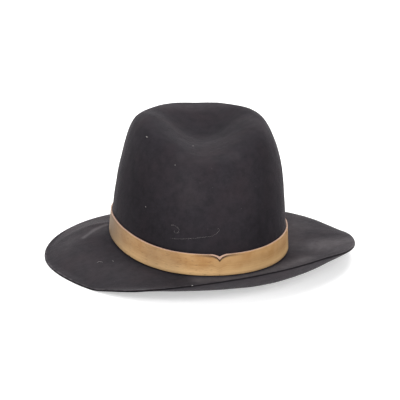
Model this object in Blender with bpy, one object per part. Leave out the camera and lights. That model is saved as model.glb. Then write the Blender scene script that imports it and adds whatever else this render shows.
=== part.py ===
"""A felt hat with a creased crown, a sweeping brim and a leather band, in metres with +Z up.

The forehead side faces +Y and the join of the band is at the back, at -Y.
The hat stands on z = 0, with the middle of its outline over the origin.
"""
from collections import namedtuple

import bmesh
import bpy
import numpy as np

# Felt: the inside of the crown at the band, and the thickness of the felt
HEAD_WIDTH = 0.1665
HEAD_LENGTH = 0.2005
FELT = 0.0020

# Crown: ridges above the surface that the hat stands on, how far its side leans to the right,
# and how much higher the right side is than the middle
CROWN_HEIGHT = 0.1435
CROWN_LEAN = 0.0025
CROWN_TILT = 0.0006

# Crease along the top: the measure of its width between the ridges
CREASE_WIDTH = 0.0920

# Brim: width from the crown, the turn at its foot, the highest points of the foot and the edge,
# and the height over which it settles on the surface
BRIM_WIDTH = 0.0635
BRIM_TURN = 0.0016
BREAK_RISE = 0.0200
EDGE_RISE = 0.0270
REST_EASE = 0.0012

# Leather band: its strip, and how far its top stands off
BAND_HEIGHT = 0.0206
BAND_THICK = 0.0015
BAND_STAND = 0.0004

# V notch in the band's top edge, at the back
NOTCH_ANGLE = 270.0
NOTCH_WIDTH = 0.0140
NOTCH_DEPTH = 0.0024

# Gap between pieces that touch
GAP = 0.0003

# Mesh: columns round the hat, shares of the brim's width that have a row, and rows round the turn.
# The crown has a row at each row of its table, and more at the shoulder. Even columns keep clear
# of the notch by a share of its half width.
COLUMNS = 64
BRIM_SHARES = (1.0, 0.93, 0.84, 0.73, 0.61, 0.48, 0.35, 0.22, 0.10)
TURN_ROWS = 2
SHOULDER_ROWS = 2
SHOULDER_ROW = 7
PLACES_A_ROW = 20
NOTCH_CLEAR_SHARE = 1.5

HALF_WIDTH = HEAD_WIDTH / 2
HALF_LENGTH = HEAD_LENGTH / 2
TURN_RADIUS = BRIM_TURN + FELT

# Underside of the brim round the hat: 0 degrees is the right side, 90 the forehead and 270 the back.
# width is a share of BRIM_WIDTH, foot of BREAK_RISE, dip and edge of EDGE_RISE.
# foot is the height where the brim leaves the crown, dip is how far it would rise by its edge
# if it ran on straight, and edge is the height of its edge. Below zero it is pressed flat.
BrimSection = namedtuple("BrimSection", "angle width foot dip edge")
BRIM = [
    BrimSection(0, 1.05, 0.43, 0.20, 0.36),
    BrimSection(30, 1.12, 0.65, 0.30, -0.06),
    BrimSection(60, 1.06, 0.67, -0.12, -0.08),
    BrimSection(90, 1.00, 0.64, -0.34, -0.06),
    BrimSection(120, 0.97, 0.76, -0.42, 0.01),
    BrimSection(150, 0.99, 1.02, -0.48, -0.09),
    BrimSection(180, 1.02, 0.95, -0.58, -0.09),
    BrimSection(210, 0.99, 0.66, -0.44, -0.16),
    BrimSection(240, 1.00, 0.37, -0.23, 0.27),
    BrimSection(270, 1.00, 0.26, -0.18, 0.84),
    BrimSection(300, 1.00, 0.24, -0.14, 0.98),
    BrimSection(330, 1.04, 0.29, 0.06, 0.64),
]

# Soft folds across the brim: angle at the crown, turn by the edge and half width in degrees.
# height is a share of EDGE_RISE. middle and reach are where it is highest and how far it runs,
# as shares of the brim's width.
Fold = namedtuple("Fold", "angle turn half height middle reach")
FOLDS = [
    Fold(151, 9, 9, 0.11, 0.35, 0.35),
    Fold(338, -6, 8, -0.07, 0.35, 0.35),
]

# Stretches where the band's strip is taller: angle and spread in degrees. height is a share of BAND_HEIGHT.
Flare = namedtuple("Flare", "angle spread height")
FLARES = [
    Flare(203, 28, 0.06),
    Flare(325, 26, 0.08),
]

# Inside of the crown before it is creased, from the foot to the tip: height is a share of CROWN_HEIGHT,
# width of HALF_WIDTH, back and front of HALF_LENGTH, and lean of CROWN_LEAN.
CrownSection = namedtuple("CrownSection", "height width back front lean")
CROWN = [
    CrownSection(0.000, 1.000, 1.000, 1.000, 0.00),
    CrownSection(0.120, 0.985, 0.992, 0.995, 0.12),
    CrownSection(0.270, 0.970, 0.975, 0.980, 0.32),
    CrownSection(0.400, 0.951, 0.952, 0.965, 0.58),
    CrownSection(0.520, 0.929, 0.930, 0.942, 0.84),
    CrownSection(0.630, 0.899, 0.900, 0.915, 1.00),
    CrownSection(0.740, 0.857, 0.868, 0.880, 0.84),
    CrownSection(0.820, 0.817, 0.835, 0.845, 0.64),
    CrownSection(0.880, 0.774, 0.795, 0.800, 0.50),
    CrownSection(0.930, 0.714, 0.735, 0.735, 0.36),
    CrownSection(0.970, 0.580, 0.610, 0.600, 0.28),
    CrownSection(0.993, 0.320, 0.350, 0.340, 0.24),
    CrownSection(1.000, 0.000, 0.000, 0.000, 0.24),
]
FRONT_BLEND = 3.0

# The crease from the back to the forehead: along is a share of HALF_LENGTH, floor of CROWN_HEIGHT,
# and its centre and its half widths on the left and the right of CREASE_WIDTH. round is how much of the
# half width its bottom rounds over, and lip is the height that its edge rolls over, of CROWN_HEIGHT.
CreaseSection = namedtuple("CreaseSection", "along floor centre left right round lip")
CREASE = [
    CreaseSection(-1.00, 0.795, -0.09, 0.58, 0.70, 0.90, 0.130),
    CreaseSection(-0.75, 0.810, -0.09, 0.58, 0.70, 0.90, 0.130),
    CreaseSection(-0.45, 0.815, -0.04, 0.58, 0.64, 0.80, 0.120),
    CreaseSection(-0.15, 0.805, 0.02, 0.56, 0.56, 0.65, 0.100),
    CreaseSection(0.08, 0.805, 0.06, 0.56, 0.50, 0.50, 0.080),
    CreaseSection(0.34, 0.870, 0.09, 0.62, 0.42, 0.40, 0.070),
    CreaseSection(0.50, 0.915, 0.09, 0.62, 0.40, 0.35, 0.060),
    CreaseSection(0.75, 0.940, 0.07, 0.56, 0.40, 0.35, 0.050),
    CreaseSection(1.00, 0.960, 0.04, 0.44, 0.42, 0.35, 0.050),
]

# The two finger dents beside the forehead, on the left and the right: along and reach are shares of
# HALF_LENGTH, level and rise of CROWN_HEIGHT, depth and start of HALF_WIDTH.
# start is how far from the middle a dent is at its full depth.
Dent = namedtuple("Dent", "side along reach level rise depth start")
DENTS = [
    Dent(-1, 0.52, 0.34, 0.80, 0.32, 0.072, 0.25),
    Dent(1, 0.52, 0.34, 0.80, 0.32, 0.072, 0.25),
]


def column(table, name):
    """One named column of a table."""
    return np.array([getattr(row, name) for row in table], dtype=float)


def curve(knots, values, x):
    """A smooth curve through the values, read at x."""
    slopes = np.gradient(values, knots)
    i = np.clip(np.searchsorted(knots, x, side="right") - 1, 0, len(knots) - 2)
    step = knots[i + 1] - knots[i]
    t = np.clip((x - knots[i]) / step, 0, 1)
    leaving = values[i] * (1 + 2 * t) * (1 - t) ** 2 + slopes[i] * step * t * (1 - t) ** 2
    arriving = values[i + 1] * t * t * (3 - 2 * t) - slopes[i + 1] * step * t * t * (1 - t)
    return leaving + arriving


def round_the_hat(name, angle):
    """A column of the brim's table as a closed curve, read at angles in degrees."""
    angles = column(BRIM, "angle")
    values = column(BRIM, name)
    knots = np.concatenate([angles[-2:] - 360, angles, angles[:2] + 360])
    return curve(knots, np.concatenate([values[-2:], values, values[:2]]), angle % 360)


def up_the_crown(name, place):
    """A column of the crown's table, read at row numbers."""
    return curve(np.arange(len(CROWN)), column(CROWN, name), place)


def along_the_crease(name, along):
    """A column of the crease's table, read from the back to the forehead."""
    return curve(column(CREASE, "along"), column(CREASE, name), along)


def ease(t):
    """From 0 to 1 with level ends."""
    t = np.clip(t, 0, 1)
    return t * t * (3 - 2 * t)


def head_oval(angle):
    """Points on the inside of the crown at the band, and the directions square to it."""
    turn = np.radians(angle)
    radius = 1 / np.hypot(np.cos(turn) / HALF_WIDTH, np.sin(turn) / HALF_LENGTH)
    x = radius * np.cos(turn)
    y = radius * np.sin(turn)
    outward = np.array([x / HALF_WIDTH ** 2, y / HALF_LENGTH ** 2])
    return x, y, outward / np.hypot(*outward)


def fold_height(angle, share):
    """Height that the soft folds add at a share of the brim's width."""
    total = np.zeros_like(angle)
    for fold in FOLDS:
        across = np.exp(-((share - fold.middle) / fold.reach) ** 2)
        off = (angle - fold.angle - fold.turn * share + 180) % 360 - 180
        total += fold.height * EDGE_RISE * np.exp(-(off / fold.half) ** 2) * across
    return total


def settled(height):
    """Presses what would be below the floor flat on it, with a soft start."""
    low = np.clip(height + REST_EASE, 0, 2 * REST_EASE) ** 2 / (4 * REST_EASE)
    return np.where(height < REST_EASE, low, height)


def brim_ring(angle, share):
    """A ring of points on the brim's underside, at a share of its width."""
    x, y, outward = head_oval(angle)
    reach = FELT + BRIM_WIDTH * round_the_hat("width", angle)
    out = TURN_RADIUS + share * (reach - TURN_RADIUS)
    foot = BREAK_RISE * round_the_hat("foot", angle)
    dip = EDGE_RISE * round_the_hat("dip", angle)
    edge = EDGE_RISE * round_the_hat("edge", angle)
    height = foot + dip * share + (edge - foot - dip) * share ** 3 + fold_height(angle, share)
    return np.column_stack([x + outward[0] * out, y + outward[1] * out, settled(height)])


def turn_ring(angle, share):
    """A ring on the turn between the brim, at share 0, and the crown, at share 1."""
    x, y, outward = head_oval(angle)
    swing = np.radians(90 * share)
    out = TURN_RADIUS * (1 - np.sin(swing))
    height = BREAK_RISE * round_the_hat("foot", angle) + TURN_RADIUS * (1 - np.cos(swing))
    return np.column_stack([x + outward[0] * out, y + outward[1] * out, height])


def dented(x, y, height):
    """Presses the finger dents into the crown's sides."""
    pressed = np.zeros_like(x)
    for dent in DENTS:
        level = ease(1 - np.abs(height - dent.level) / dent.rise)
        across = ease(1 - np.abs(y / HALF_LENGTH - dent.along) / dent.reach)
        near = ease(dent.side * x / (dent.start * HALF_WIDTH))
        pressed += dent.side * dent.depth * HALF_WIDTH * level * across * near
    return x - pressed


def creased(x, y, z):
    """Presses the crease down into the crown's top, and rolls its lip."""
    along = y / HALF_LENGTH
    floor = CROWN_HEIGHT * along_the_crease("floor", along)
    off = x - CREASE_WIDTH * along_the_crease("centre", along)
    side = np.where(off < 0, along_the_crease("left", along), along_the_crease("right", along))
    share = off / (CREASE_WIDTH * side)
    bottom = along_the_crease("round", along)
    slope = (np.hypot(share, bottom) - bottom) / (np.hypot(1, bottom) - bottom)
    valley = floor + (CROWN_HEIGHT - floor) * slope
    lip = CROWN_HEIGHT * along_the_crease("lip", along)
    roll = np.clip(lip - np.abs(z - valley), 0, None) ** 2 / (4 * lip)
    return np.minimum(z, valley) - roll


def crown_ring(angle, place):
    """A ring of points on the crown's inside; place runs through the rows of the crown's table."""
    x, y, _ = head_oval(angle)
    height = up_the_crown("height", place)
    back = up_the_crown("back", place)
    front = up_the_crown("front", place)
    forward = 0.5 + 0.5 * np.tanh(FRONT_BLEND * np.sin(np.radians(angle)))
    foot = BREAK_RISE * round_the_hat("foot", angle) + TURN_RADIUS
    x = x * up_the_crown("width", place)
    y = y * (back + (front - back) * forward)
    z = foot + (CROWN_HEIGHT - foot) * height + CROWN_TILT * x / HALF_WIDTH * height
    x = dented(x + CROWN_LEAN * up_the_crown("lean", place), y, height)
    return np.column_stack([x, y, creased(x, y, z)])


def felt_rings():
    """All rings of the felt's inside, from the brim's edge to the tip of the crown."""
    angle = np.arange(COLUMNS) * 360 / COLUMNS
    rings = [brim_ring(angle, share) for share in BRIM_SHARES]
    rings += [turn_ring(angle, step / TURN_ROWS) for step in range(TURN_ROWS)]
    low = np.arange(SHOULDER_ROW)
    high = np.arange(SHOULDER_ROW, len(CROWN) - 1, 1 / SHOULDER_ROWS)
    rings += [crown_ring(angle, place) for place in np.concatenate([low, high])]
    return rings, crown_ring(angle[:1], len(CROWN) - 1.0)[0]


def band_foot(angle):
    """Height of the band's lower edge, just above the turn of the brim."""
    return BREAK_RISE * round_the_hat("foot", angle) + TURN_RADIUS + GAP


def band_height(angle):
    """Height of the strip, with its taller stretches and the notch."""
    flare = sum(row.height * np.exp(-((angle - row.angle) / row.spread) ** 2) for row in FLARES)
    half_notch = np.degrees(NOTCH_WIDTH / 2 / HALF_LENGTH)
    notch = np.clip(1 - np.abs(angle - NOTCH_ANGLE) / half_notch, 0, 1)
    return BAND_HEIGHT * (1 + flare) - NOTCH_DEPTH * notch


def band_ring(angle, share):
    """A ring on the inside of the band, at a share of its height, clear of the felt."""
    foot = band_foot(angle) - GAP
    height = (GAP + share * band_height(angle)) / (CROWN_HEIGHT - foot)
    places = np.linspace(0, SHOULDER_ROW, PLACES_A_ROW * SHOULDER_ROW + 1)
    place = np.interp(height, up_the_crown("height", places), places)
    ring = crown_ring(angle, place)
    out = (FELT + GAP + BAND_STAND * share) * head_oval(angle)[2]
    ring[:, 0] += out[0]
    ring[:, 1] += out[1]
    return ring


def band_angles():
    """Even steps round the hat, with three more at the notch."""
    even = np.arange(COLUMNS) * 360 / COLUMNS
    half_notch = np.degrees(NOTCH_WIDTH / 2 / HALF_LENGTH)
    clear = even[np.abs(even - NOTCH_ANGLE) > NOTCH_CLEAR_SHARE * half_notch]
    notch = NOTCH_ANGLE + half_notch * np.array([-1, 0, 1])
    return np.sort(np.concatenate([clear, notch]))


def sheet_object(name, rings, tip, thickness, material):
    """An open sheet through the rings, thickened outward into a closed body."""
    mesh = bmesh.new()
    loops = [[mesh.verts.new(point) for point in ring] for ring in rings]
    for low, high in zip(loops, loops[1:]):
        for i in range(len(low)):
            mesh.faces.new((low[i - 1], low[i], high[i], high[i - 1]))
    if tip is not None:
        top = mesh.verts.new(tip)
        for i in range(len(loops[-1])):
            mesh.faces.new((loops[-1][i - 1], loops[-1][i], top))
    data = bpy.data.meshes.new(name)
    mesh.to_mesh(data)
    mesh.free()
    data.shade_smooth()
    data.materials.append(material)
    body = bpy.data.objects.new(name, data)
    bpy.context.scene.collection.objects.link(body)
    wall = body.modifiers.new("Wall", "SOLIDIFY")
    wall.thickness = thickness
    wall.offset = 1
    wall.use_even_offset = True
    return body


def finish(name, colour, roughness):
    """A plain material of one colour."""
    material = bpy.data.materials.new(name)
    material.use_nodes = True
    shader = material.node_tree.nodes["Principled BSDF"]
    shader.inputs["Base Color"].default_value = (*colour, 1)
    shader.inputs["Roughness"].default_value = roughness
    shader.inputs["Metallic"].default_value = 0
    return material


def make_felt_body():
    """Crown and brim, one piece of felt."""
    rings, tip = felt_rings()
    charcoal = finish("charcoal_felt", (0.034, 0.030, 0.034), 0.95)
    return sheet_object("felt_body", rings, tip, FELT, charcoal)


def make_hat_band():
    """The leather strip, a ring round the foot of the crown."""
    angle = band_angles()
    rings = [band_ring(angle, share) for share in (0.0, 0.5, 1.0)]
    tan = finish("tan_leather", (0.47, 0.28, 0.12), 0.6)
    return sheet_object("hat_band", rings, None, BAND_THICK, tan)


def centre_on_origin(widest, others):
    """Places the pieces so that the middle of the widest one's outline is over the origin."""
    bpy.context.view_layer.update()
    shape = widest.evaluated_get(bpy.context.evaluated_depsgraph_get())
    corners = np.array([tuple(corner) for corner in shape.bound_box])
    middle = (corners.min(axis=0) + corners.max(axis=0)) / 2
    for piece in (widest, *others):
        piece.location = (-middle[0], -middle[1], 0)


for old in list(bpy.data.objects):
    bpy.data.objects.remove(old, do_unlink=True)

felt_body = make_felt_body()
hat_band = make_hat_band()
centre_on_origin(felt_body, [hat_band])
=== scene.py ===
from collections import namedtuple

import bpy
import numpy as np
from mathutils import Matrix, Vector, noise
from mathutils.bvhtree import BVHTree


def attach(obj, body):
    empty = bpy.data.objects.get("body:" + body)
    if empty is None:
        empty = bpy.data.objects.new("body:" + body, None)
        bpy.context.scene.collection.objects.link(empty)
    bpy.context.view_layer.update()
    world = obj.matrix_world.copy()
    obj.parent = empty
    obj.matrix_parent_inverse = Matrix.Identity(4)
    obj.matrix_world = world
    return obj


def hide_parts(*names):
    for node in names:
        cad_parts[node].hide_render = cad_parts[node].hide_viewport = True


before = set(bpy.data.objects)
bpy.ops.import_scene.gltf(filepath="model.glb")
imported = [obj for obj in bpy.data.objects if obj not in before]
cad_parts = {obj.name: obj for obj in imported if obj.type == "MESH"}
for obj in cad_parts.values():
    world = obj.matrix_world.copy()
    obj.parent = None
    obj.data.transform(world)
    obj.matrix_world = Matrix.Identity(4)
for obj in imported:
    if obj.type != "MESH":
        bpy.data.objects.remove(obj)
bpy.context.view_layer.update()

# Camera
# A long lens behind the hat, a little to its left and above the brim, as in the photograph.
# It looks level enough that both the top of the brim and its turned-up underside show.
AZIMUTH = np.radians(-11.0)
ELEVATION = np.radians(15.6)
DISTANCE = 2.4
AIM = Vector((0.0003, 0.0, 0.0542))
IMAGE_WIDTH = 400
PIXELS_PER_METRE = 1025.6
SENSOR = 36.0

to_camera = Vector((
    np.sin(AZIMUTH) * np.cos(ELEVATION),
    -np.cos(AZIMUTH) * np.cos(ELEVATION),
    np.sin(ELEVATION),
))
camera_data = bpy.data.cameras.new("camera")
camera_data.sensor_width = SENSOR
camera_data.lens = SENSOR * PIXELS_PER_METRE * DISTANCE / IMAGE_WIDTH
camera = bpy.data.objects.new("camera", camera_data)
camera.location = AIM + to_camera * DISTANCE
camera.rotation_euler = to_camera.to_track_quat("Z", "Y").to_euler()
bpy.context.scene.collection.objects.link(camera)
bpy.context.scene.camera = camera


# Felt body
# Crown and brim are one piece of blocked wool felt, creased by hand along the top.
# The brim is flanged down at the forehead and turned up at the back, and its edge is cut raw.
HEAD_WIDTH = 0.1665
HEAD_LENGTH = 0.2005
FELT = 0.0020
CROWN_HEIGHT = 0.1435
CROWN_LEAN = 0.0025
CROWN_TILT = 0.0006
CREASE_WIDTH = 0.0920
BRIM_WIDTH = 0.0635
BRIM_TURN = 0.0016
BREAK_RISE = 0.0200
EDGE_RISE = 0.0270
REST_EASE = 0.0012
HALF_WIDTH = HEAD_WIDTH / 2
HALF_LENGTH = HEAD_LENGTH / 2
TURN_RADIUS = BRIM_TURN + FELT

# Underside of the brim round the hat: 0 degrees is the right side, 90 the forehead and 270 the back.
# width is a share of BRIM_WIDTH, foot of BREAK_RISE, dip and edge of EDGE_RISE.
# foot is the height where the brim leaves the crown, dip is how far it would rise by its edge
# if it ran on straight, and edge is the height of its edge. Below zero it is pressed flat.
BrimSection = namedtuple("BrimSection", "angle width foot dip edge")
BRIM = [
    BrimSection(0, 1.05, 0.43, 0.20, 0.36),
    BrimSection(30, 1.12, 0.65, 0.30, -0.06),
    BrimSection(60, 1.06, 0.67, -0.12, -0.08),
    BrimSection(90, 1.00, 0.64, -0.34, -0.06),
    BrimSection(120, 0.97, 0.76, -0.42, 0.01),
    BrimSection(150, 0.99, 1.02, -0.48, -0.09),
    BrimSection(180, 1.02, 0.95, -0.58, -0.09),
    BrimSection(210, 0.99, 0.66, -0.44, -0.16),
    BrimSection(240, 1.00, 0.37, -0.23, 0.27),
    BrimSection(270, 1.00, 0.26, -0.18, 0.84),
    BrimSection(300, 1.00, 0.24, -0.14, 0.98),
    BrimSection(330, 1.04, 0.29, 0.06, 0.64),
]

# Soft folds across the brim: angle at the crown, turn by the edge and half width in degrees.
# height is a share of EDGE_RISE. middle and reach are where it is highest and how far it runs,
# as shares of the brim's width.
Fold = namedtuple("Fold", "angle turn half height middle reach")
FOLDS = [
    Fold(151, 9, 9, 0.11, 0.35, 0.35),
    Fold(338, -6, 8, -0.07, 0.35, 0.35),
]

# Inside of the crown before it is creased. height is 0 at the foot and 1 at CROWN_HEIGHT, width is a share
# of HALF_WIDTH, back and front of HALF_LENGTH, and lean of CROWN_LEAN.
CrownSection = namedtuple("CrownSection", "height width back front lean")
CROWN = [
    CrownSection(0.000, 1.000, 1.000, 1.000, 0.00),
    CrownSection(0.120, 0.985, 0.992, 0.995, 0.12),
    CrownSection(0.270, 0.970, 0.975, 0.980, 0.32),
    CrownSection(0.400, 0.951, 0.952, 0.965, 0.58),
    CrownSection(0.520, 0.929, 0.930, 0.942, 0.84),
    CrownSection(0.630, 0.899, 0.900, 0.915, 1.00),
    CrownSection(0.740, 0.857, 0.868, 0.880, 0.84),
    CrownSection(0.820, 0.817, 0.835, 0.845, 0.64),
    CrownSection(0.880, 0.774, 0.795, 0.800, 0.50),
    CrownSection(0.930, 0.714, 0.735, 0.735, 0.36),
    CrownSection(0.970, 0.580, 0.610, 0.600, 0.28),
    CrownSection(0.993, 0.320, 0.350, 0.340, 0.24),
    CrownSection(1.000, 0.000, 0.000, 0.000, 0.24),
]
FRONT_BLEND = 3.0

# The crease from the back to the forehead. along is a share of HALF_LENGTH, floor of CROWN_HEIGHT, and
# centre and the half widths left and right of CREASE_WIDTH. round is how much of the half width its bottom
# rounds over. lip is the height that its edge rolls over, as a share of CROWN_HEIGHT.
CreaseSection = namedtuple("CreaseSection", "along floor centre left right round lip")
CREASE = [
    CreaseSection(-1.00, 0.795, -0.09, 0.58, 0.70, 0.90, 0.130),
    CreaseSection(-0.75, 0.810, -0.09, 0.58, 0.70, 0.90, 0.130),
    CreaseSection(-0.45, 0.815, -0.04, 0.58, 0.64, 0.80, 0.120),
    CreaseSection(-0.15, 0.805, 0.02, 0.56, 0.56, 0.65, 0.100),
    CreaseSection(0.08, 0.805, 0.06, 0.56, 0.50, 0.50, 0.080),
    CreaseSection(0.34, 0.870, 0.09, 0.62, 0.42, 0.40, 0.070),
    CreaseSection(0.50, 0.915, 0.09, 0.62, 0.40, 0.35, 0.060),
    CreaseSection(0.75, 0.940, 0.07, 0.56, 0.40, 0.35, 0.050),
    CreaseSection(1.00, 0.960, 0.04, 0.44, 0.42, 0.35, 0.050),
]

# The two finger dents beside the forehead, on the left and the right. along and reach are shares of
# HALF_LENGTH, depth and start of HALF_WIDTH, and level and rise are heights as in the crown's table.
# start is how far from the middle a dent is at its full depth.
Dent = namedtuple("Dent", "side along reach level rise depth start")
DENTS = [
    Dent(-1, 0.52, 0.34, 0.80, 0.32, 0.072, 0.25),
    Dent(1, 0.52, 0.34, 0.80, 0.32, 0.072, 0.25),
]


def column(table, name):
    """One named column of a table."""
    return np.array([getattr(row, name) for row in table], dtype=float)


def curve(knots, values, x):
    """A smooth curve through the values, read at x."""
    slopes = np.gradient(values, knots)
    i = np.clip(np.searchsorted(knots, x, side="right") - 1, 0, len(knots) - 2)
    step = knots[i + 1] - knots[i]
    t = np.clip((x - knots[i]) / step, 0, 1)
    leaving = values[i] * (1 + 2 * t) * (1 - t) ** 2 + slopes[i] * step * t * (1 - t) ** 2
    arriving = values[i + 1] * t * t * (3 - 2 * t) - slopes[i + 1] * step * t * t * (1 - t)
    return leaving + arriving


def round_the_hat(name, angle):
    """A column of the brim's table as a closed curve, read at angles in degrees."""
    angles = column(BRIM, "angle")
    values = column(BRIM, name)
    knots = np.concatenate([angles[-2:] - 360, angles, angles[:2] + 360])
    return curve(knots, np.concatenate([values[-2:], values, values[:2]]), angle % 360)


def up_the_crown(name, place):
    """A column of the crown's table, read at row numbers."""
    return curve(np.arange(len(CROWN)), column(CROWN, name), place)


def along_the_crease(name, along):
    """A column of the crease's table, read from the back to the forehead."""
    return curve(column(CREASE, "along"), column(CREASE, name), along)


def ease(t):
    """From 0 to 1 with level ends."""
    t = np.clip(t, 0, 1)
    return t * t * (3 - 2 * t)


def head_oval(angle):
    """Points on the inside of the crown at the band, and the directions square to it."""
    turn = np.radians(angle)
    radius = 1 / np.hypot(np.cos(turn) / HALF_WIDTH, np.sin(turn) / HALF_LENGTH)
    x = radius * np.cos(turn)
    y = radius * np.sin(turn)
    outward = np.array([x / HALF_WIDTH ** 2, y / HALF_LENGTH ** 2])
    return x, y, outward / np.hypot(*outward)


def fold_height(angle, share):
    """Height that the soft folds add at a share of the brim's width."""
    total = np.zeros_like(angle)
    for fold in FOLDS:
        across = np.exp(-((share - fold.middle) / fold.reach) ** 2)
        off = (angle - fold.angle - fold.turn * share + 180) % 360 - 180
        total += fold.height * EDGE_RISE * np.exp(-(off / fold.half) ** 2) * across
    return total


def settled(height):
    """Presses what would be below the floor flat on it, with a soft start."""
    low = np.clip(height + REST_EASE, 0, 2 * REST_EASE) ** 2 / (4 * REST_EASE)
    return np.where(height < REST_EASE, low, height)


def brim_ring(angle, share):
    """A ring of points on the brim's underside, at a share of its width."""
    x, y, outward = head_oval(angle)
    reach = FELT + BRIM_WIDTH * round_the_hat("width", angle)
    out = TURN_RADIUS + share * (reach - TURN_RADIUS)
    foot = BREAK_RISE * round_the_hat("foot", angle)
    dip = EDGE_RISE * round_the_hat("dip", angle)
    edge = EDGE_RISE * round_the_hat("edge", angle)
    height = foot + dip * share + (edge - foot - dip) * share ** 3 + fold_height(angle, share)
    return np.column_stack([x + outward[0] * out, y + outward[1] * out, settled(height)])


def turn_ring(angle, share):
    """A ring on the turn between the brim, at share 0, and the crown, at share 1."""
    x, y, outward = head_oval(angle)
    swing = np.radians(90 * share)
    out = TURN_RADIUS * (1 - np.sin(swing))
    height = BREAK_RISE * round_the_hat("foot", angle) + TURN_RADIUS * (1 - np.cos(swing))
    return np.column_stack([x + outward[0] * out, y + outward[1] * out, height])


def dented(x, y, height):
    """Presses the finger dents into the crown's sides."""
    pressed = np.zeros_like(x)
    for dent in DENTS:
        level = ease(1 - np.abs(height - dent.level) / dent.rise)
        across = ease(1 - np.abs(y / HALF_LENGTH - dent.along) / dent.reach)
        near = ease(dent.side * x / (dent.start * HALF_WIDTH))
        pressed += dent.side * dent.depth * HALF_WIDTH * level * across * near
    return x - pressed


def creased(x, y, z):
    """Presses the crease down into the crown's top, and rolls its lip."""
    along = y / HALF_LENGTH
    floor = CROWN_HEIGHT * along_the_crease("floor", along)
    off = x - CREASE_WIDTH * along_the_crease("centre", along)
    side = np.where(off < 0, along_the_crease("left", along), along_the_crease("right", along))
    share = off / (CREASE_WIDTH * side)
    bottom = along_the_crease("round", along)
    slope = (np.hypot(share, bottom) - bottom) / (np.hypot(1, bottom) - bottom)
    valley = floor + (CROWN_HEIGHT - floor) * slope
    lip = CROWN_HEIGHT * along_the_crease("lip", along)
    roll = np.clip(lip - np.abs(z - valley), 0, None) ** 2 / (4 * lip)
    return np.minimum(z, valley) - roll


def crown_ring(angle, place):
    """A ring of points on the crown's inside; place runs through the rows of the crown's table."""
    x, y, _ = head_oval(angle)
    height = up_the_crown("height", place)
    back = up_the_crown("back", place)
    front = up_the_crown("front", place)
    forward = 0.5 + 0.5 * np.tanh(FRONT_BLEND * np.sin(np.radians(angle)))
    foot = BREAK_RISE * round_the_hat("foot", angle) + TURN_RADIUS
    x = x * up_the_crown("width", place)
    y = y * (back + (front - back) * forward)
    z = foot + (CROWN_HEIGHT - foot) * height + CROWN_TILT * x / HALF_WIDTH * height
    x = dented(x + CROWN_LEAN * up_the_crown("lean", place), y, height)
    return np.column_stack([x, y, creased(x, y, z)])


# The surface is drawn as rings from the brim's edge up to the tip of the crown
COLUMNS = 288
BRIM_RINGS = 40
TURN_RINGS = 5
CROWN_RINGS = 84


def felt_surface():
    """The felt's inside as rings from the brim's edge up, the ways out of it, and the tip of the crown."""
    angle = np.arange(COLUMNS) * 360 / COLUMNS
    shares = np.linspace(1, 0, BRIM_RINGS, endpoint=False)
    places = np.linspace(0, len(CROWN) - 1, CROWN_RINGS, endpoint=False)
    rings = [brim_ring(angle, share) for share in shares]
    rings += [turn_ring(angle, step / TURN_RINGS) for step in range(TURN_RINGS)]
    rings += [crown_ring(angle, place) for place in places]
    inside = np.array(rings)
    tip = crown_ring(angle[:1], len(CROWN) - 1.0)[0]
    closed = np.concatenate([inside, np.broadcast_to(tip, (1, COLUMNS, 3))])
    up = np.gradient(closed, axis=0)
    along = np.roll(closed, -1, axis=1) - np.roll(closed, 1, axis=1)
    normal = np.cross(along, up)[:-1]
    normal /= np.linalg.norm(normal, axis=-1, keepdims=True)
    return inside, normal, tip


inside, outward, tip = felt_surface()
outline = inside[0] + outward[0] * FELT
hat_middle = (outline.max(axis=0) + outline.min(axis=0)) / 2 * (1, 1, 0)

# Hand-blocked felt is never quite even: slow waves of a few tenths of a millimetre run over it
WAVE_LENGTH = 0.034
WAVE_HEIGHT = 0.00055
RIPPLE_LENGTH = 0.011
RIPPLE_HEIGHT = 0.00016
SETTLE_HEIGHT = 0.006


def unevenness(points):
    """How far the hand-worked felt stands in or out at each point; none where it lies on the floor."""
    flat = points.reshape(-1, 3)
    waves = [noise.noise(Vector(p) / WAVE_LENGTH) * WAVE_HEIGHT
             + noise.noise(Vector(p) / RIPPLE_LENGTH) * RIPPLE_HEIGHT for p in flat]
    settle = ease(flat[:, 2] / SETTLE_HEIGHT)
    return (np.array(waves) * settle).reshape(points.shape[:-1] + (1,))


# The cut edge of the brim: a square cut with its corners worn round. The lower the power, the squarer it is.
EDGE_ROUND = 0.0007
EDGE_STEPS = 6
EDGE_POWER = 0.6

inside = inside + outward * unevenness(inside)
outside = inside + outward * FELT
edge_direction = inside[0] - inside[1]
edge_direction /= np.linalg.norm(edge_direction, axis=-1, keepdims=True)
edge = []
for step in range(1, EDGE_STEPS):
    turn = np.pi * step / EDGE_STEPS
    level = 0.5 - 0.5 * np.cos(turn)
    bulge = edge_direction * EDGE_ROUND * np.sin(turn) ** EDGE_POWER
    edge.append(inside[0] + outward[0] * FELT * level + bulge)

grid = np.concatenate([inside[::-1], np.array(edge), outside])
EDGE_FIRST = len(inside)
EDGE_LAST = len(inside) + len(edge)


def ring_mesh(name, rings, closed_tips=()):
    """A mesh through closed rings of points, with a point at each end where tips are given."""
    count = rings.shape[1]
    points = rings.reshape(-1, 3).tolist()
    faces = []
    for low in range(len(rings) - 1):
        for i in range(count):
            j = (i + 1) % count
            faces.append((low * count + i, low * count + j, (low + 1) * count + j, (low + 1) * count + i))
    for first, tip_point, forward in closed_tips:
        points.append(list(tip_point))
        for i in range(count):
            pair = (first * count + i, first * count + (i + 1) % count)
            faces.append((*pair, len(points) - 1) if forward else (*reversed(pair), len(points) - 1))
    mesh = bpy.data.meshes.new(name)
    mesh.from_pydata(points, [], faces)
    mesh.update()
    mesh.shade_smooth()
    piece = bpy.data.objects.new(name, mesh)
    bpy.context.scene.collection.objects.link(piece)
    return piece


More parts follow.
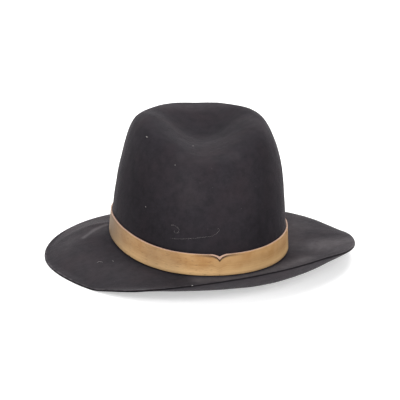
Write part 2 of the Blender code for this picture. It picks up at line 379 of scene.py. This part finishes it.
tips = ((0, tip, False), (len(grid) - 1, tip + np.array((0, 0, FELT)), True))
felt = ring_mesh("felt_hat", grid - hat_middle, tips)

# Marks are placed in the picture and cast onto the felt
IMAGE_MIDDLE = IMAGE_WIDTH / 2
felt_tree = BVHTree.FromPolygons([v.co for v in felt.data.vertices], [p.vertices for p in felt.data.polygons])
camera_turn = camera.rotation_euler.to_matrix()


def on_the_felt(x, y):
    """The point of the felt that the camera sees at a place in the picture, and the way out of it."""
    reach = camera_data.lens * IMAGE_WIDTH / SENSOR
    direction = camera_turn @ Vector((x - IMAGE_MIDDLE, IMAGE_MIDDLE - y, -reach)).normalized()
    point, normal, _, _ = felt_tree.ray_cast(camera.location, direction)
    return point, normal if normal.dot(direction) < 0 else -normal


skin = grid - hat_middle
skin_facing = np.concatenate([-outward[::-1], np.broadcast_to(edge_direction, np.shape(edge)), outward])


def marked(marks):
    """How strongly the marks show at each point of the felt, on the side of it that they lie on."""
    total = np.zeros(skin.shape[:-1])
    for mark in marks:
        spots, ways = (np.array(values) for values in zip(*(on_the_felt(x, y) for x, y in mark.path)))
        near = np.full(total.shape, np.inf)
        for start, end in zip(spots, spots[1:]):
            run = end - start
            along = np.clip((skin - start) @ run / (run @ run), 0, 1)
            near = np.minimum(near, np.linalg.norm(skin - start - along[..., None] * run, axis=-1))
        total += mark.amount * np.exp(-(near / mark.width) ** 2) * (skin_facing @ ways[0] > 0)
    return total


# Painted shade: a dark line where the felt meets the foot of the band, and a fainter one along its top.
# Four line widths away from a line, none shows.
BAND_HEIGHT = 0.0206
CONTACT_SHADE_WIDTH = 0.0011
CONTACT_SHADE_END = 4 * CONTACT_SHADE_WIDTH
CONTACT_SHADE_AT_TOP = 0.7
band_foot = outside[BRIM_RINGS + TURN_RINGS]
climb = outside[..., 2] - band_foot[:, 2]
from_foot = np.linalg.norm(outside - band_foot, axis=-1)
from_top = np.where(climb > BAND_HEIGHT, climb - BAND_HEIGHT, CONTACT_SHADE_END)
painted_shade = np.exp(-(from_foot / CONTACT_SHADE_WIDTH) ** 2) + CONTACT_SHADE_AT_TOP * np.exp(-(from_top / CONTACT_SHADE_WIDTH) ** 2)

# Marks: a path in the picture, in pixels, the mark's width in metres, and how strong it is. The first table
# pales the felt with dust and painted light, the second darkens the crown's sides with painted shade
Mark = namedtuple("Mark", "path width amount")
DUST_AND_PAINTED_LIGHT = [
    # Left brim: a narrow streak along the fold, partly dust and partly a painted highlight, then broad
    # painted light where the brim lies in shade
    Mark([(84, 237.5), (95, 229.5), (107, 224.5)], 0.0024, 0.38),
    Mark([(62, 252), (92, 268), (130, 276)], 0.0250, 0.06),
    Mark([(118, 268), (160, 279), (198, 285)], 0.0160, 0.02),
    Mark([(70, 241), (86, 232), (104, 229)], 0.0120, 0.14),
    # Right brim: pale streaks and patches, partly dust and partly painted light
    Mark([(298, 218), (290, 245)], 0.0160, 0.13),
    Mark([(300, 225), (322, 229)], 0.0140, 0.10),
    Mark([(313, 247), (342, 248)], 0.0150, 0.17),
    Mark([(326, 243), (349, 240)], 0.0150, 0.29),
    # Painted light on the near brim below the band, where the crown shades it, and along its edge
    Mark([(200, 280), (240, 278), (272, 270), (306, 259)], 0.0100, 0.32),
    Mark([(206, 287), (240, 284), (280, 275), (316, 262)], 0.0120, 0.10),
    # Painted highlights along the crown's top rim, on the lip and sides of the crease, and on the crown's
    # back
    Mark([(166, 106), (180, 106), (196, 106.5), (210, 105.5), (224, 104.5)], 0.0090, 0.10),
    Mark([(180, 157), (206, 161), (236, 155)], 0.0060, 0.04),
    Mark([(222, 114), (240, 122)], 0.0090, 0.03),
    Mark([(250, 118), (264, 128)], 0.0090, 0.08),
    Mark([(186, 178), (190, 198)], 0.0120, 0.04),
]
# Painted shade darkening the lower left and right sides of the crown
PAINTED_SHADE_MARKS = [
    Mark([(138, 188), (150, 238)], 0.0240, 0.32),
    Mark([(265, 156), (262, 232)], 0.0200, 0.34),
]
unseen = np.zeros((EDGE_LAST, COLUMNS))
painted_shade = np.concatenate([unseen, painted_shade]) + marked(PAINTED_SHADE_MARKS)
dust_and_light = marked(DUST_AND_PAINTED_LIGHT)

# The cut edge: the middle of its face is darkened with painted shade, and its upper corner is lightened with
# a painted highlight
CUT_SHADE = (0.3, 1.0, 1.0, 0.3)
cut_face_shade = np.zeros((len(grid), COLUMNS))
cut_face_shade[EDGE_FIRST:EDGE_LAST - 1] = np.array(CUT_SHADE)[:, None]
edge_highlight = np.zeros((len(grid), COLUMNS))
edge_highlight[EDGE_LAST - 1:EDGE_LAST + 1] = 1


def keep_values(piece, name, values):
    """Stores a number for each point of a piece, for its material to read."""
    layer = piece.data.attributes.new(name, "FLOAT", "POINT")
    layer.data.foreach_set("value", values.astype(np.float32))


for name, values in (("painted_shade", painted_shade), ("dust_and_light", dust_and_light), ("cut_face_shade", cut_face_shade), ("edge_highlight", edge_highlight)):
    keep_values(felt, name, np.concatenate([values.ravel(), np.zeros(len(tips))]))


def linear(code):
    """An sRGB colour such as 3A363A as linear values for a socket."""
    values = [int(code[i:i + 2], 16) / 255 for i in (0, 2, 4)]
    return tuple(v / 12.92 if v <= 0.04045 else ((v + 0.055) / 1.055) ** 2.4 for v in values) + (1.0,)


def add(tree, kind, settings=None, **links):
    """One node of a material: its settings, and its inputs as values, nodes or outputs; _6 is input 6."""
    node = tree.nodes.new(kind)
    for name, value in (settings or {}).items():
        setattr(node, name, value)
    for name, value in links.items():
        numbered = name[0] == "_" and name[1:].isdigit()
        socket = node.inputs[int(name[1:]) if numbered else name.replace("_", " ")]
        if isinstance(value, bpy.types.Node):
            value = next(output for output in value.outputs if output.enabled)
        if isinstance(value, bpy.types.NodeSocket):
            tree.links.new(value, socket)
        else:
            socket.default_value = value
    return node


def material(name):
    """A new material, its node tree and its shader."""
    made = bpy.data.materials.new(name)
    made.use_nodes = True
    tree = made.node_tree
    return made, tree, tree.nodes["Principled BSDF"]


# Blocked wool felt: dull and nearly black, with a short nap that catches light at grazing angles.
# Broad patches differ a little in tone where the nap lies differently, dust and painted light pale the brim,
# and painted shade darkens the cut edge. The nap is drawn about three times as coarse as it is, so that it
# shows.
FELT_DARK = "222023"
FELT_PALE = "2A272B"
FELT_WARM = "2B2528"
FELT_FLECK_AND_HIGHLIGHT = "575355"
FELT_DUST_AND_LIGHT = "6A6668"
FELT_SHADE = "0B090B"
PATCH_MM = 28
CLOUD_MM = 7
NAP_MM = 1.1
DRIFT_MM = 7
FLECK_MM = 5.5
FLECK_SIZE = 0.055
FLECK_CHOICE = 0.86
FLECK_STRENGTH = 0.5
CUT_SHADE_STRENGTH = 0.95
SHADE_STRENGTH = 0.95

felt_finish, tree, shader = material("blocked_wool_felt")
place = add(tree, "ShaderNodeTexCoord").outputs["Object"]
patch = add(tree, "ShaderNodeTexNoise", Vector=place, Scale=1000 / PATCH_MM, Detail=3.0, Roughness=0.6)
cloud = add(tree, "ShaderNodeTexNoise", Vector=place, Scale=1000 / CLOUD_MM, Detail=4.0, Roughness=0.65)
nap = add(tree, "ShaderNodeTexNoise", Vector=place, Scale=1000 / NAP_MM, Detail=2.0, Roughness=0.6)
drift = add(tree, "ShaderNodeTexNoise", Vector=place, Scale=1000 / DRIFT_MM, Detail=5.0, Roughness=0.6)
tone = add(tree, "ShaderNodeMapRange", Value=cloud, From_Min=0.3, From_Max=0.7)
colour = add(tree, "ShaderNodeMix", {"data_type": "RGBA"},
             _0=tone, _6=linear(FELT_DARK), _7=linear(FELT_PALE))
warmth = add(tree, "ShaderNodeMapRange", Value=patch, From_Min=0.42, From_Max=0.92)
colour = add(tree, "ShaderNodeMix", {"data_type": "RGBA"}, _0=warmth, _6=colour, _7=linear(FELT_WARM))

# Dust and painted light, uneven in drifts
dust_and_light_mix = add(tree, "ShaderNodeAttribute", {"attribute_name": "dust_and_light"}).outputs["Fac"]
uneven = add(tree, "ShaderNodeMapRange", Value=drift, From_Min=0.30, From_Max=0.70, To_Min=0.75, To_Max=1.15)
dust_and_light_mix = add(tree, "ShaderNodeMath", {"operation": "MULTIPLY"}, _0=dust_and_light_mix, _1=uneven)
colour = add(tree, "ShaderNodeMix", {"data_type": "RGBA"}, _0=dust_and_light_mix, _6=colour, _7=linear(FELT_DUST_AND_LIGHT))

# A few pale flecks of wool lie in the nap: one cell in seven or so has one
fleck = add(tree, "ShaderNodeTexVoronoi", Vector=place, Scale=1000 / FLECK_MM)
chosen = add(tree, "ShaderNodeSeparateColor", Color=fleck.outputs["Color"])
chosen = add(tree, "ShaderNodeMath", {"operation": "GREATER_THAN"}, _0=chosen, _1=FLECK_CHOICE)
speck = add(tree, "ShaderNodeMath", {"operation": "LESS_THAN"}, _0=fleck, _1=FLECK_SIZE)
speck = add(tree, "ShaderNodeMath", {"operation": "MULTIPLY"}, _0=speck, _1=chosen)
speck = add(tree, "ShaderNodeMath", {"operation": "MULTIPLY"}, _0=speck, _1=FLECK_STRENGTH)
colour = add(tree, "ShaderNodeMix", {"data_type": "RGBA"}, _0=speck, _6=colour, _7=linear(FELT_FLECK_AND_HIGHLIGHT))

# The cut edge's painted shade, the painted highlight on its corner, and the painted shade by the band and on
# the crown's sides
cut_shade = add(tree, "ShaderNodeAttribute", {"attribute_name": "cut_face_shade"}).outputs["Fac"]
cut_shade = add(tree, "ShaderNodeMath", {"operation": "MULTIPLY", "use_clamp": True}, _0=cut_shade, _1=CUT_SHADE_STRENGTH)
colour = add(tree, "ShaderNodeMix", {"data_type": "RGBA"}, _0=cut_shade, _6=colour, _7=linear(FELT_SHADE))
corner_highlight = add(tree, "ShaderNodeAttribute", {"attribute_name": "edge_highlight"}).outputs["Fac"]
broken = add(tree, "ShaderNodeMapRange", Value=cloud, From_Min=0.40, From_Max=0.66, To_Min=0.1, To_Max=0.8)
corner_highlight = add(tree, "ShaderNodeMath", {"operation": "MULTIPLY"}, _0=corner_highlight, _1=broken)
colour = add(tree, "ShaderNodeMix", {"data_type": "RGBA"}, _0=corner_highlight, _6=colour, _7=linear(FELT_FLECK_AND_HIGHLIGHT))
shade_amount = add(tree, "ShaderNodeAttribute", {"attribute_name": "painted_shade"}).outputs["Fac"]
shade_amount = add(tree, "ShaderNodeMath", {"operation": "MULTIPLY", "use_clamp": True}, _0=shade_amount, _1=SHADE_STRENGTH)
colour = add(tree, "ShaderNodeMix", {"data_type": "RGBA"}, _0=shade_amount, _6=colour, _7=linear(FELT_SHADE))
tree.links.new(colour.outputs[2], shader.inputs["Base Color"])

relief = add(tree, "ShaderNodeMath", {"operation": "MULTIPLY_ADD"}, _0=cloud, _1=1.5, _2=nap)
bump = add(tree, "ShaderNodeBump", Strength=0.5, Distance=0.0004, Height=relief)
tree.links.new(bump.outputs["Normal"], shader.inputs["Normal"])
shader.inputs["Roughness"].default_value = 0.95
shader.inputs["Specular IOR Level"].default_value = 0.05
shader.inputs["Sheen Weight"].default_value = 0.125
shader.inputs["Sheen Roughness"].default_value = 0.25
shader.inputs["Sheen Tint"].default_value = linear("F4EEF2")
felt.data.materials.append(felt_finish)

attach(felt, "root")
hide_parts("felt_body")


# Lint
# Pale wool fibres and a few specks of fluff that cling to the felt's nap.
# The longest is a curled thread low on the back of the crown.

# Each path is in the picture, in pixels, and each radius is in metres
Fibre = namedtuple("Fibre", "path radius")
LINT = [
    Fibre([(172, 238.7), (180, 238.9), (190, 238.5), (200, 237.7), (208, 236.6), (214, 235.0), (217.8, 232.4),
           (219.3, 229.8), (218.6, 228.6), (217.2, 229.4)], 0.000028),
    Fibre([(170.5, 226.0), (172, 224.8), (174.5, 225.4), (177, 227.2), (178.8, 229.8), (178.6, 232.2),
           (176.8, 233.2), (174.6, 232.2), (174.2, 230.4)], 0.000024),
    Fibre([(146.3, 136.2), (147.2, 137.2), (147.9, 136.9)], 0.00030),
    Fibre([(192.4, 145.7), (193.2, 146.1), (193.8, 145.9)], 0.00020),
    Fibre([(174.4, 164.8), (175.2, 165.1), (176.0, 164.9)], 0.00010),
    Fibre([(145.5, 206.4), (146.1, 207.0)], 0.00020),
    Fibre([(97.0, 262.4), (100.0, 261.6), (103.0, 262.0)], 0.00007),
    Fibre([(112.4, 260.8), (113.6, 261.3)], 0.00016),
    Fibre([(191.6, 285.7), (193.0, 285.5)], 0.00030),
]
FIBRE_SIDES = 6
FIBRE_STEP_PX = 0.7
FIBRE_LIFT = 0.6
FIBRE_TIP = 0.35
FIBRE_MIN_STEPS = 4


def fibre_rings(path, radius):
    """Rings of a thread that lies on the felt along a path in the picture."""
    corners = np.array(path, dtype=float)
    lengths = np.concatenate([[0], np.cumsum(np.hypot(*np.diff(corners, axis=0).T))])
    count = max(FIBRE_MIN_STEPS, int(lengths[-1] / FIBRE_STEP_PX))
    steps = np.linspace(0, lengths[-1], count)
    xs, ys = (curve(lengths, corners[:, axis], steps) for axis in (0, 1))
    middles, normals = zip(*(on_the_felt(x, y) for x, y in zip(xs, ys)))
    middles = [point + normal * radius * FIBRE_LIFT for point, normal in zip(middles, normals)]
    rings = []
    for i, (middle, normal) in enumerate(zip(middles, normals)):
        ahead = (middles[min(i + 1, count - 1)] - middles[max(i - 1, 0)]).normalized()
        side = ahead.cross(normal).normalized()
        thin = radius * (FIBRE_TIP if i in (0, count - 1) else 1)
        turns = np.arange(FIBRE_SIDES) * 2 * np.pi / FIBRE_SIDES
        rings.append([middle + (side * np.cos(t) + side.cross(ahead) * np.sin(t)) * thin for t in turns])
    return rings


points, faces = [], []
for fibre in LINT:
    rings = fibre_rings(fibre.path, fibre.radius)
    for low in range(len(rings) - 1):
        for i in range(FIBRE_SIDES):
            j = (i + 1) % FIBRE_SIDES
            first = len(points) + low * FIBRE_SIDES
            faces.append((first + i, first + j, first + FIBRE_SIDES + j, first + FIBRE_SIDES + i))
    first = len(points)
    last = first + (len(rings) - 1) * FIBRE_SIDES
    faces.append(tuple(first + i for i in reversed(range(FIBRE_SIDES))))
    faces.append(tuple(last + i for i in range(FIBRE_SIDES)))
    points += [tuple(point) for ring in rings for point in ring]
lint_mesh = bpy.data.meshes.new("wool_lint")
lint_mesh.from_pydata(points, [], faces)
lint_mesh.shade_smooth()
lint = bpy.data.objects.new("wool_lint", lint_mesh)
bpy.context.scene.collection.objects.link(lint)

# Wool lint: off-white fluff, greyer where it has picked up dust
LINT_PALE = "B9B4B0"
LINT_GREY = "6E6A6A"
LINT_MM = 3
lint_finish, tree, shader = material("wool_fluff")
place = add(tree, "ShaderNodeTexCoord").outputs["Object"]
grey = add(tree, "ShaderNodeTexNoise", Vector=place, Scale=1000 / LINT_MM, Detail=2.0)
colour = add(tree, "ShaderNodeMix", {"data_type": "RGBA"},
             _0=grey, _6=linear(LINT_PALE), _7=linear(LINT_GREY))
tree.links.new(colour.outputs[2], shader.inputs["Base Color"])
shader.inputs["Roughness"].default_value = 0.9
lint_mesh.materials.append(lint_finish)
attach(lint, "root")


# Leather band
# A strip of vegetable-tanned leather set round the foot of the crown, its ends meeting at the back.
# Its top edge is cut raw and pale, and is pared down to a small V over the join.
BAND_THICK = 0.0015
BAND_STAND = 0.0004
GAP = 0.0003
NOTCH_ANGLE = 270.0
NOTCH_WIDTH = 0.0140
NOTCH_DEPTH = 0.0024
NOTCH_CURVE = 1.5

# Stretches where the strip is taller: angle and spread in degrees. height is a share of BAND_HEIGHT.
Flare = namedtuple("Flare", "angle spread height")
FLARES = [
    Flare(203, 28, 0.06),
    Flare(325, 26, 0.08),
]

# The strip follows the crown below its shoulder. Its face waves a little, in waves that are three times
# as long up the strip as round it.
BAND_COLUMNS = 720
BAND_RINGS = 16
SHOULDER_ROW = 7
PLACES_A_ROW = 20
BAND_WAVE_LENGTH = 0.019
BAND_WAVE_HEIGHT = 0.00035
BAND_WAVE_STRETCH = 3
BAND_EDGE_ROUND = 0.0004


def band_height(angle):
    """Height of the strip, with its taller stretches and the notch."""
    flare = sum(row.height * np.exp(-((angle - row.angle) / row.spread) ** 2) for row in FLARES)
    half_notch = np.degrees(NOTCH_WIDTH / 2 / HALF_LENGTH)
    notch = np.clip(1 - np.abs(angle - NOTCH_ANGLE) / half_notch, 0, 1)
    return BAND_HEIGHT * (1 + flare) - NOTCH_DEPTH * notch ** NOTCH_CURVE


def band_ring(angle, share, out):
    """A ring on the band at a share of its height, so far out from its inside."""
    foot = BREAK_RISE * round_the_hat("foot", angle) + TURN_RADIUS
    height = (GAP + share * band_height(angle)) / (CROWN_HEIGHT - foot)
    places = np.linspace(0, SHOULDER_ROW, PLACES_A_ROW * SHOULDER_ROW + 1)
    place = np.interp(height, up_the_crown("height", places), places)
    ring = crown_ring(angle, place)
    shift = (FELT + GAP + BAND_STAND * share + out) * head_oval(angle)[2]
    ring[:, 0] += shift[0]
    ring[:, 1] += shift[1]
    return ring


def band_waves(angle, share):
    """How far the face of the strip stands in or out where it was pulled round the crown."""
    x, y, _ = head_oval(angle)
    z = share * BAND_HEIGHT / BAND_WAVE_STRETCH
    waves = [noise.noise(Vector((px, py, z)) / BAND_WAVE_LENGTH) for px, py in zip(x, y)]
    return BAND_WAVE_HEIGHT * np.array(waves)


angle = np.arange(BAND_COLUMNS) * 360 / BAND_COLUMNS
shares = np.linspace(0, 1, BAND_RINGS)
shares[[0, 1, -2, -1]] = 0, BAND_EDGE_ROUND / BAND_HEIGHT, 1 - BAND_EDGE_ROUND / BAND_HEIGHT, 1
face = []
for share in shares:
    pared = BAND_EDGE_ROUND if share in (0, 1) else 0
    face.append(band_ring(angle, share, BAND_THICK - pared + band_waves(angle, share)))
back = [band_ring(angle, share, 0.0) for share in shares[::-1]]
band = ring_mesh("leather_band", np.array(face + back + face[:1]) - hat_middle)

# Distances in millimetres from the join and below the cut edge, for the leather's colours
round_length = np.cumsum(np.hypot(*np.diff(face[0][:, :2], axis=0, append=face[0][:1, :2]).T)) * 1000
join = np.searchsorted(angle, NOTCH_ANGLE)
from_join = round_length - round_length[join]
all_shares = np.concatenate([shares, shares[::-1], shares[:1]])
below_edge = [(1 - share) * band_height(angle) * 1000 for share in all_shares]

# Darker stretches round the band: the two broad ones, towards its sides, are painted shade where it turns
# away from the light. angle and spread in degrees, and how strong each is
BandShade = namedtuple("BandShade", "angle spread amount")
BAND_SHADES = [
    BandShade(178, 32, 0.92),
    BandShade(233, 9, 0.34),
    BandShade(246, 5, 0.22),
    BandShade(318, 8, 0.10),
    BandShade(352, 18, 0.60),
]
band_shade = 0
for row in BAND_SHADES:
    off = (angle - row.angle + 180) % 360 - 180
    band_shade = band_shade + row.amount * np.exp(-(off / row.spread) ** 2)
keep_values(band, "from_join", np.tile(from_join, len(all_shares)))
keep_values(band, "below_edge", np.concatenate(below_edge))
keep_values(band, "band_shade", np.tile(band_shade, len(all_shares)))


# Vegetable-tanned leather: a warm tan with long faint streaks, greyed towards the sides by painted shade,
# with a painted highlight along the lower rim. The raw edge along the top is pale over a thin line of painted
# shade, and both dip at the join, where the ends meet in a fine seam.
TAN = "B28C5E"
TAN_DEEP = "A67C4D"
TAN_LIGHT = "C8A065"
TAN_RIM_HIGHLIGHT = "D3AD7B"
TAN_GREY = "6F5C48"
CUT_EDGE = "AE8F7E"
DARK_MARKS_AND_SHADE = "2A140D"
STREAK_MM = 1.3
STREAK_LENGTH_MM = 34
CRACK_MM = 0.8
CRACK_LENGTH_MM = 6
CRACK_STRENGTH = 0.42
TAN_PATCH_MM = 18
GRAIN_MM = 0.9
EDGE_MM = 0.4
EDGE_RAGGED_MM = 4 * EDGE_MM
SLOPE_MM = 0.8
SLOPE_HALF_MM = 11
FACET_MM = 1.3
FACET_HALF_MM = 2.4
LINE_MM = 1.8
LINE_HALF_MM = 26
SEAM_MM = 0.6
LOWER_RIM_MM = 14
LOWER_RIM_BLEND_MM = 8
LOWER_RIM_SHIFT_MM = 7.0
TICK_MM = 16

tan_leather, tree, shader = material("vegetable_tanned_leather")
along = add(tree, "ShaderNodeAttribute", {"attribute_name": "from_join"}).outputs["Fac"]
below = add(tree, "ShaderNodeAttribute", {"attribute_name": "below_edge"}).outputs["Fac"]
strip = add(tree, "ShaderNodeCombineXYZ", X=along, Y=below)
stretch = add(tree, "ShaderNodeMapping", Vector=strip, Scale=(1 / STREAK_LENGTH_MM, 1 / STREAK_MM, 1))
streaks = add(tree, "ShaderNodeTexNoise", Vector=stretch, Scale=1.0, Detail=3.0, Roughness=0.6)
patches = add(tree, "ShaderNodeTexNoise", Vector=strip, Scale=1 / TAN_PATCH_MM, Detail=3.0, Roughness=0.55)
grain = add(tree, "ShaderNodeTexNoise", Vector=strip, Scale=1 / GRAIN_MM, Detail=3.0, Roughness=0.6)
deep = add(tree, "ShaderNodeMapRange", Value=patches, From_Min=0.42, From_Max=0.62)
tanned = add(tree, "ShaderNodeMix", {"data_type": "RGBA"}, _0=deep, _6=linear(TAN), _7=linear(TAN_DEEP))
bright = add(tree, "ShaderNodeMapRange", Value=streaks, From_Min=0.50, From_Max=0.80, To_Max=0.45)
tanned = add(tree, "ShaderNodeMix", {"data_type": "RGBA"}, _0=bright, _6=tanned, _7=linear(TAN_LIGHT))

# The lighter lower rim, a painted highlight
level = add(tree, "ShaderNodeMath", {"operation": "MULTIPLY_ADD"},
            _0=streaks, _1=LOWER_RIM_SHIFT_MM, _2=below)
rim = add(tree, "ShaderNodeMapRange",
          Value=level, From_Min=LOWER_RIM_MM, From_Max=LOWER_RIM_MM + LOWER_RIM_BLEND_MM, To_Max=0.9)
tanned = add(tree, "ShaderNodeMix", {"data_type": "RGBA"}, _0=rim, _6=tanned, _7=linear(TAN_RIM_HIGHLIGHT))

# Fine cracks where the strip bends, left of the join
flaws = add(tree, "ShaderNodeMapping", Vector=strip, Scale=(1 / CRACK_LENGTH_MM, 1 / CRACK_MM, 1))
flaws = add(tree, "ShaderNodeTexNoise", Vector=flaws, Scale=1.0, Detail=2.0, Roughness=0.6)
flaws = add(tree, "ShaderNodeMapRange", Value=flaws, From_Min=0.58, From_Max=0.70)
left = add(tree, "ShaderNodeMapRange", Value=along, From_Min=1.0, From_Max=-7.0, To_Max=CRACK_STRENGTH)
flaws = add(tree, "ShaderNodeMath", {"operation": "MULTIPLY"}, _0=flaws, _1=left)
tanned = add(tree, "ShaderNodeMix", {"data_type": "RGBA"}, _0=flaws, _6=tanned, _7=linear(DARK_MARKS_AND_SHADE))

# The painted shade towards the sides, and the narrower darker stretches
darkened = add(tree, "ShaderNodeAttribute", {"attribute_name": "band_shade"}).outputs["Fac"]
tanned = add(tree, "ShaderNodeMix", {"data_type": "RGBA"}, _0=darkened, _6=tanned, _7=linear(TAN_GREY))

# The raw edge is widest at the join
off_join = add(tree, "ShaderNodeMath", {"operation": "ABSOLUTE"}, _0=along)
slope = add(tree, "ShaderNodeMapRange",
            Value=off_join, From_Max=SLOPE_HALF_MM, To_Min=SLOPE_MM, To_Max=-EDGE_MM)
facet = add(tree, "ShaderNodeMapRange", Value=off_join, From_Max=FACET_HALF_MM, To_Min=FACET_MM, To_Max=0.0)
edge_width = add(tree, "ShaderNodeMath", {"operation": "MULTIPLY_ADD"}, _0=grain, _1=EDGE_RAGGED_MM, _2=slope)
edge_width = add(tree, "ShaderNodeMath", {"operation": "ADD"}, _0=edge_width, _1=facet)
past_edge = add(tree, "ShaderNodeMath", {"operation": "SUBTRACT"}, _0=below, _1=edge_width)

# The line of painted shade under it fades away from the join. The seam shows as a dark tick at the band's
# foot.
off_line = add(tree, "ShaderNodeMath", {"operation": "SUBTRACT"}, _0=past_edge, _1=LINE_MM / 2)
off_line = add(tree, "ShaderNodeMath", {"operation": "ABSOLUTE"}, _0=off_line)
line = add(tree, "ShaderNodeMapRange", Value=off_line, From_Max=LINE_MM, To_Min=1.4, To_Max=0.0)
fade = add(tree, "ShaderNodeMapRange", Value=off_join, From_Max=LINE_HALF_MM, To_Min=0.9, To_Max=0.12)
line = add(tree, "ShaderNodeMath", {"operation": "MULTIPLY", "use_clamp": True}, _0=line, _1=fade)
tanned = add(tree, "ShaderNodeMix", {"data_type": "RGBA"}, _0=line, _6=tanned, _7=linear(DARK_MARKS_AND_SHADE))
seam = add(tree, "ShaderNodeMapRange", Value=off_join, From_Max=SEAM_MM, To_Min=0.9, To_Max=0.0)
low = add(tree, "ShaderNodeMapRange",
          Value=below, From_Min=TICK_MM, From_Max=BAND_HEIGHT * 1000 - 1, To_Max=0.8)
seam = add(tree, "ShaderNodeMath", {"operation": "MULTIPLY"}, _0=seam, _1=low)
tanned = add(tree, "ShaderNodeMix", {"data_type": "RGBA"}, _0=seam, _6=tanned, _7=linear(DARK_MARKS_AND_SHADE))
raw = add(tree, "ShaderNodeMapRange", Value=past_edge, From_Min=0.1, From_Max=-0.2, To_Max=0.9)
tanned = add(tree, "ShaderNodeMix", {"data_type": "RGBA"}, _0=raw, _6=tanned, _7=linear(CUT_EDGE))
tree.links.new(tanned.outputs[2], shader.inputs["Base Color"])

relief = add(tree, "ShaderNodeMath", {"operation": "MULTIPLY_ADD"}, _0=streaks, _1=1.5, _2=grain)
bump = add(tree, "ShaderNodeBump", Strength=0.35, Distance=0.0003, Height=relief)
tree.links.new(bump.outputs["Normal"], shader.inputs["Normal"])
roughness = add(tree, "ShaderNodeMapRange", Value=streaks, To_Min=0.5, To_Max=0.72)
tree.links.new(roughness.outputs[0], shader.inputs["Roughness"])
shader.inputs["Specular IOR Level"].default_value = 0.3
band.data.materials.append(tan_leather)
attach(band, "root")
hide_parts("hat_band")


# Floor and light
# A plain white floor, just clear of the felt, under broad soft lights from above and all round.
# The floor is matt, and glows a little so that it stays white.
FLOOR_HALF = 12.0
FLOOR_CLEAR = 0.0002
FLOOR_WHITE = "DDDDDD"
corners = [(FLOOR_HALF * x, FLOOR_HALF * y, 0) for x, y in ((-1, -1), (1, -1), (1, 1), (-1, 1))]
floor_mesh = bpy.data.meshes.new("floor")
floor_mesh.from_pydata(corners, [], [(0, 1, 2, 3)])
floor = bpy.data.objects.new("floor", floor_mesh)
floor.location.z = -FLOOR_CLEAR
bpy.context.scene.collection.objects.link(floor)
white_floor, tree, shader = material("white_floor")
shader.inputs["Base Color"].default_value = linear(FLOOR_WHITE)
shader.inputs["Roughness"].default_value = 0.9
shader.inputs["Emission Color"].default_value = (1, 1, 1, 1)
shader.inputs["Emission Strength"].default_value = 0.45
floor_mesh.materials.append(white_floor)

world = bpy.data.worlds.new("studio")
world.use_nodes = True
world.node_tree.nodes["Background"].inputs["Color"].default_value = (1, 1, 1, 1)
world.node_tree.nodes["Background"].inputs["Strength"].default_value = 0.02
bpy.context.scene.world = world

# Directions that the light comes from, and its strength and width in degrees
Light = namedtuple("Light", "name direction strength width")
LIGHTS = [
    Light("front_softbox", (-0.19, -0.98, 0.70), 0.7, 55),
    Light("left_softbox", (-0.90, -0.60, 0.50), 1.9, 55),
    Light("right_softbox", (0.60, -0.90, 0.50), 2.7, 55),
    Light("rear_softbox", (0.10, 0.97, 0.60), 1.1, 55),
    Light("top_softbox", (0.10, 0.40, 0.95), 3.3, 55),
]
for light in LIGHTS:
    data = bpy.data.lights.new(light.name, "SUN")
    data.energy = light.strength
    data.angle = np.radians(light.width)
    lamp = bpy.data.objects.new(light.name, data)
    lamp.rotation_euler = Vector(light.direction).to_track_quat("Z", "Y").to_euler()
    bpy.context.scene.collection.objects.link(lamp)
bpy.context.scene.view_settings.view_transform = "Standard"
